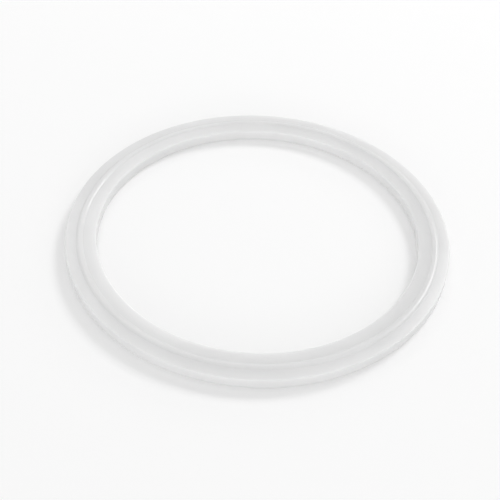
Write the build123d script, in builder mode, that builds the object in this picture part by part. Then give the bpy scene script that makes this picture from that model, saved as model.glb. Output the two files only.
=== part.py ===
"""Sanitary clamp gasket, moulded in one piece from clear silicone.

A flat ring that lies between two clamp ferrules. Both faces carry a round
bead, which sits in the grooves of the ferrules, and fall away slightly from
the bead to the inner and the outer rim.

Origin: on the ring's axis, half way up its thickness. +Z is the ring's axis.
"""
import os

from build123d import *

# Driving dimensions, in millimetres
opening_diameter = 100.0  # flush with the inside of the tube
inner_band_width = 4.0  # from the opening to the bead's inner foot
bead_width = 2.2  # across the bead, foot to foot
outer_band_width = 3.3  # from the bead's outer foot to the outer rim
rim_thickness = 3.5  # of the ring at its inner and outer rims
band_rise = 0.25  # how much higher each face stands at the bead's foot than at a rim
bead_height = 0.4  # of the bead's crest above its feet, on each face
rim_edge_bevel = 0.15  # bevel along the four edges of the rims

opening_radius = opening_diameter / 2
bead_inner_radius = opening_radius + inner_band_width
bead_outer_radius = bead_inner_radius + bead_width
outer_radius = bead_outer_radius + outer_band_width
rim_height = rim_thickness / 2
foot_height = rim_height + band_rise

with BuildPart() as gasket_ring:
    with BuildSketch(Plane.XZ) as section:
        with BuildLine():
            inner_band = Line((opening_radius, rim_height), (bead_inner_radius, foot_height))
            bead = SagittaArc(inner_band @ 1, (bead_outer_radius, foot_height), bead_height)
            Line(bead @ 1, (outer_radius, rim_height))
            mirror(about=Plane.XZ)
            Line((opening_radius, -rim_height), (opening_radius, rim_height))
            Line((outer_radius, -rim_height), (outer_radius, rim_height))
        make_face()
        columns = section.vertices().group_by(Axis.X)
        chamfer(columns[0] + columns[-1], length=rim_edge_bevel)
    revolve(axis=Axis.Z)
gasket_ring.part.label = "gasket_ring"

os.makedirs("parts", exist_ok=True)
export_step(gasket_ring.part, "parts/gasket_ring.step")
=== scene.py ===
import math

import bpy
from mathutils import Matrix, Vector


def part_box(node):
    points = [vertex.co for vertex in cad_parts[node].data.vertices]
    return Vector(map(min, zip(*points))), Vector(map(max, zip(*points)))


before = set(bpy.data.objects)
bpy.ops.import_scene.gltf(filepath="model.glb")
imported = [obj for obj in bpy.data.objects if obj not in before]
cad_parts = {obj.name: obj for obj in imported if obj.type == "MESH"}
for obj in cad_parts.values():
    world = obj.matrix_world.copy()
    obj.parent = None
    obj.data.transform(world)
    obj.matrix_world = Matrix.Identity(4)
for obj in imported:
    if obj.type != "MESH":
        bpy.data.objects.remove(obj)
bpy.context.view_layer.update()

# Where the ring lies, in metres
low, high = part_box("gasket_ring")
outer_radius = (high.x - low.x) / 2
floor_level = low.z
floor_size = 4.0
rim_lift = 0.00065  # from the floor to the rim's lower edge

# Camera, aimed from the level of the rim's lower edge
camera_elevation = math.radians(43.4)
camera_distance = 5.0 * outer_radius
camera_roll = math.radians(2.93)
camera_target = Vector((0.0, 0.0, floor_level + rim_lift))
lens_mm = 68.0
sensor_mm = 36.0
clip_start = 0.01
aim_right = -0.0080  # tangent of the angle that the view's centre lies right of the ring's
aim_up = -0.0140  # and above it

# Soft boxes, aimed at the ring: watts, degrees and metres
soft_boxes = {
    "key": dict(strength=35.0, azimuth=48, elevation=41, distance=3.0, width=1.1, height=1.0),
    "fill": dict(strength=7.0, azimuth=-85, elevation=12, distance=2.5, width=2.4, height=0.4),
    "back": dict(strength=3.0, azimuth=65, elevation=17, distance=2.0, width=2.4, height=0.5),
    "left": dict(strength=4.5, azimuth=108, elevation=45, distance=2.5, width=0.9, height=0.7),
}

# Light from all around
horizon_strength = 0.86
zenith_strength = 0.37
front_strength = 0.50  # added towards the front
backdrop_seen = 0.95  # what the camera sees beyond the floor

# Floor
floor_tone = 0.80  # what the floor throws back on the ring
floor_tone_seen = 0.985  # what the camera sees

# Silicone's colour and gloss
darkest_tone = 0.78
lightest_tone = 0.82
cloud_scale = 45.0
cloud_detail = 3.0
least_roughness = 0.20
most_roughness = 0.25
gloss_scale = 80.0
refractive_index = 1.41
scatter_depth = 0.003  # metres

# Silicone's surface: its spacing and depths are in metres
fine_detail = 2.0
ring_spacing = 0.0009
ring_waviness = 1.5
ring_depth = 0.000004
ring_share = 0.6
skin_scale = 2600.0
skin_depth = 0.00001
skin_share = 0.15

# Light through the silicone
light_through = 0.52  # how much of a lamp's light each surface lets past to what is behind it
bounce_through = 0.02  # and of the light from all around
glow_through = 0.32  # share of a surface's light that comes from behind it
glow_tone = 0.95

# Noise seldom leaves this range
noise_low = 0.3
noise_high = 0.7


def grey(level):
    return (level, level, level, 1)


def combine(nodes, links, operation, first, second):
    node = nodes.new("ShaderNodeMath")
    node.operation = operation
    links.new(first, node.inputs[0])
    links.new(second, node.inputs[1])
    return node.outputs[0]


def blend(nodes, links, share, first, second):
    """The second shader's share, a number or an output, mixed into the first."""
    node = nodes.new("ShaderNodeMixShader")
    if isinstance(share, float):
        node.inputs["Fac"].default_value = share
    else:
        links.new(share, node.inputs["Fac"])
    links.new(first, node.inputs[1])
    links.new(second, node.inputs[2])
    return node.outputs["Shader"]


def mix_greys(nodes, links, share, first, second):
    """The first grey where share is 0 and the second where it is 1."""
    node = nodes.new("ShaderNodeMix")
    node.data_type = "RGBA"
    color_a = node.inputs[6]
    color_b = node.inputs[7]
    color_a.default_value = grey(first)
    color_b.default_value = grey(second)
    links.new(share, node.inputs["Factor"])
    return node.outputs[2]


def noise(nodes, links, place, scale, detail):
    node = nodes.new("ShaderNodeTexNoise")
    node.inputs["Scale"].default_value = scale
    node.inputs["Detail"].default_value = detail
    links.new(place, node.inputs["Vector"])
    return node.outputs["Fac"]


def spread(nodes, links, value, least, most):
    """Map the range that noise keeps to onto the range from least to most."""
    node = nodes.new("ShaderNodeMapRange")
    node.inputs["From Min"].default_value = noise_low
    node.inputs["From Max"].default_value = noise_high
    node.inputs["To Min"].default_value = least
    node.inputs["To Max"].default_value = most
    links.new(value, node.inputs["Value"])
    return node.outputs["Result"]


def turned_rings(nodes, links, place, spacing):
    """Rings about the part's axis, a set distance apart, as a turned mould leaves them."""
    node = nodes.new("ShaderNodeTexWave")
    node.wave_type = "RINGS"
    node.rings_direction = "Z"
    # at a scale of 1 the node makes one ring in each tau / 20 metres
    node.inputs["Scale"].default_value = math.tau / (20 * spacing)
    node.inputs["Distortion"].default_value = ring_waviness
    node.inputs["Detail"].default_value = fine_detail
    links.new(place, node.inputs["Vector"])
    return node.outputs["Fac"]


def raise_surface(nodes, links, height, share, depth):
    node = nodes.new("ShaderNodeBump")
    node.inputs["Strength"].default_value = share
    node.inputs["Distance"].default_value = depth
    links.new(height, node.inputs["Height"])
    return node


def either_ray(nodes, links, names):
    """1 for rays of any of the named kinds, else 0."""
    path = nodes.new("ShaderNodeLightPath")
    result = path.outputs[names[0]]
    for name in names[1:]:
        result = combine(nodes, links, "MAXIMUM", result, path.outputs[name])
    return result


def let_light_through(nodes, links, body):
    """Part of the light passes each surface, so the ring and its shadow are not too dark."""
    clear = nodes.new("ShaderNodeBsdfTransparent").outputs["BSDF"]
    path = nodes.new("ShaderNodeLightPath")
    to_lamps = blend(nodes, links, light_through, body, clear)
    to_room = blend(nodes, links, bounce_through, body, clear)
    # light that is already inside the rubber gets out again
    inside = nodes.new("ShaderNodeNewGeometry").outputs["Backfacing"]
    to_room = blend(nodes, links, inside, to_room, clear)
    surface = blend(nodes, links, path.outputs["Is Diffuse Ray"], body, to_room)
    return blend(nodes, links, path.outputs["Is Shadow Ray"], surface, to_lamps)


def silicone_material():
    """Clear, milky silicone: light goes in, scatters and comes out on the far side."""
    material = bpy.data.materials.new("milky_silicone")
    material.use_nodes = True
    nodes = material.node_tree.nodes
    links = material.node_tree.links
    place = nodes.new("ShaderNodeTexCoord").outputs["Object"]

    clouds = noise(nodes, links, place, cloud_scale, cloud_detail)
    cloudiness = spread(nodes, links, clouds, 0.0, 1.0)
    tone = mix_greys(nodes, links, cloudiness, darkest_tone, lightest_tone)

    gloss = noise(nodes, links, place, gloss_scale, fine_detail)
    roughness = spread(nodes, links, gloss, least_roughness, most_roughness)

    # faint rings left by the turned mould, then the fine skin of the rubber
    ring_height = turned_rings(nodes, links, place, ring_spacing)
    rings = raise_surface(nodes, links, ring_height, ring_share, ring_depth)
    skin_height = noise(nodes, links, place, skin_scale, fine_detail)
    skin = raise_surface(nodes, links, skin_height, skin_share, skin_depth)
    links.new(rings.outputs["Normal"], skin.inputs["Normal"])

    shader = nodes["Principled BSDF"]
    links.new(tone, shader.inputs["Base Color"])
    links.new(roughness, shader.inputs["Roughness"])
    links.new(skin.outputs["Normal"], shader.inputs["Normal"])
    shader.inputs["IOR"].default_value = refractive_index
    shader.inputs["Subsurface Weight"].default_value = 1.0
    shader.inputs["Subsurface Radius"].default_value = (1.0, 1.0, 1.0)
    shader.inputs["Subsurface Scale"].default_value = scatter_depth

    glow = nodes.new("ShaderNodeBsdfTranslucent")
    glow.inputs["Color"].default_value = grey(glow_tone)
    body = blend(nodes, links, glow_through, shader.outputs["BSDF"], glow.outputs["BSDF"])
    surface = let_light_through(nodes, links, body)
    links.new(surface, nodes["Material Output"].inputs["Surface"])
    return material


def floor_material():
    """Pale paper, paler to the camera than to the ring. It keeps the ring's shadow."""
    material = bpy.data.materials.new("pale_floor")
    material.use_nodes = True
    nodes = material.node_tree.nodes
    links = material.node_tree.links
    seen = either_ray(nodes, links, ["Is Camera Ray", "Is Glossy Ray", "Is Transmission Ray"])
    tone = mix_greys(nodes, links, seen, floor_tone, floor_tone_seen)
    shader = nodes["Principled BSDF"]
    shader.inputs["Roughness"].default_value = 1.0
    shader.inputs["Specular IOR Level"].default_value = 0.0
    links.new(tone, shader.inputs["Base Color"])
    return material


def add_floor():
    bpy.ops.mesh.primitive_plane_add(size=floor_size, location=(0, 0, floor_level))
    floor = bpy.context.object
    floor.name = "floor"
    floor.data.materials.append(floor_material())


def add_soft_box(name, strength, azimuth, elevation, distance, width, height):
    lamp = bpy.data.lights.new(name, "AREA")
    lamp.shape = "RECTANGLE"
    lamp.size = width
    lamp.size_y = height
    lamp.energy = strength
    turn = math.radians(azimuth)
    tilt = math.radians(elevation)
    place = Vector((
        math.cos(turn) * math.cos(tilt),
        math.sin(turn) * math.cos(tilt),
        math.sin(tilt),
    )) * distance
    light = bpy.data.objects.new(name, lamp)
    light.location = place
    light.rotation_euler = place.to_track_quat("Z", "Y").to_euler()
    bpy.context.scene.collection.objects.link(light)


def light_the_world():
    """Light that falls off from the horizon to the zenith, with more from the front."""
    world = bpy.data.worlds.new("studio")
    world.use_nodes = True
    nodes = world.node_tree.nodes
    links = world.node_tree.links
    background = nodes["Background"]
    background.inputs["Color"].default_value = grey(1)
    split = nodes.new("ShaderNodeSeparateXYZ")
    links.new(nodes.new("ShaderNodeTexCoord").outputs["Generated"], split.inputs["Vector"])
    height = nodes.new("ShaderNodeMapRange")
    height.inputs["To Min"].default_value = horizon_strength
    height.inputs["To Max"].default_value = zenith_strength
    links.new(split.outputs["Z"], height.inputs["Value"])
    front = nodes.new("ShaderNodeMapRange")
    front.inputs["From Max"].default_value = -1.0
    front.inputs["To Max"].default_value = front_strength
    links.new(split.outputs["Y"], front.inputs["Value"])
    total = combine(nodes, links, "ADD", height.outputs["Result"], front.outputs["Result"])
    backdrop = nodes.new("ShaderNodeMix")
    links.new(nodes.new("ShaderNodeLightPath").outputs["Is Camera Ray"], backdrop.inputs["Factor"])
    links.new(total, backdrop.inputs["A"])
    backdrop.inputs["B"].default_value = backdrop_seen
    links.new(backdrop.outputs["Result"], background.inputs["Strength"])
    bpy.context.scene.world = world


def add_camera():
    place = Vector((0, -math.cos(camera_elevation), math.sin(camera_elevation))) * camera_distance
    ahead = -place.normalized()
    right = Vector((1, 0, 0))
    up = right.cross(ahead)
    rolled_right = right * math.cos(camera_roll) + up * math.sin(camera_roll)
    rolled_up = up * math.cos(camera_roll) - right * math.sin(camera_roll)
    # the view's centre, turned away from the ring's centre
    view = (ahead + rolled_right * aim_right + rolled_up * aim_up).normalized()
    side = view.cross(rolled_up).normalized()
    top = side.cross(view)
    stand = camera_target + place
    camera = bpy.data.cameras.new("camera")
    camera.lens = lens_mm
    camera.sensor_width = sensor_mm
    camera.clip_start = clip_start
    holder = bpy.data.objects.new("camera", camera)
    holder.matrix_world = Matrix((
        (side.x, top.x, -view.x, stand.x),
        (side.y, top.y, -view.y, stand.y),
        (side.z, top.z, -view.z, stand.z),
        (0, 0, 0, 1),
    ))
    bpy.context.scene.collection.objects.link(holder)
    bpy.context.scene.camera = holder


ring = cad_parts["gasket_ring"]
ring.data.materials.clear()
ring.data.materials.append(silicone_material())

add_floor()
for name, settings in soft_boxes.items():
    add_soft_box(name, **settings)
light_the_world()
add_camera()
bpy.context.scene.view_settings.view_transform = "Standard"
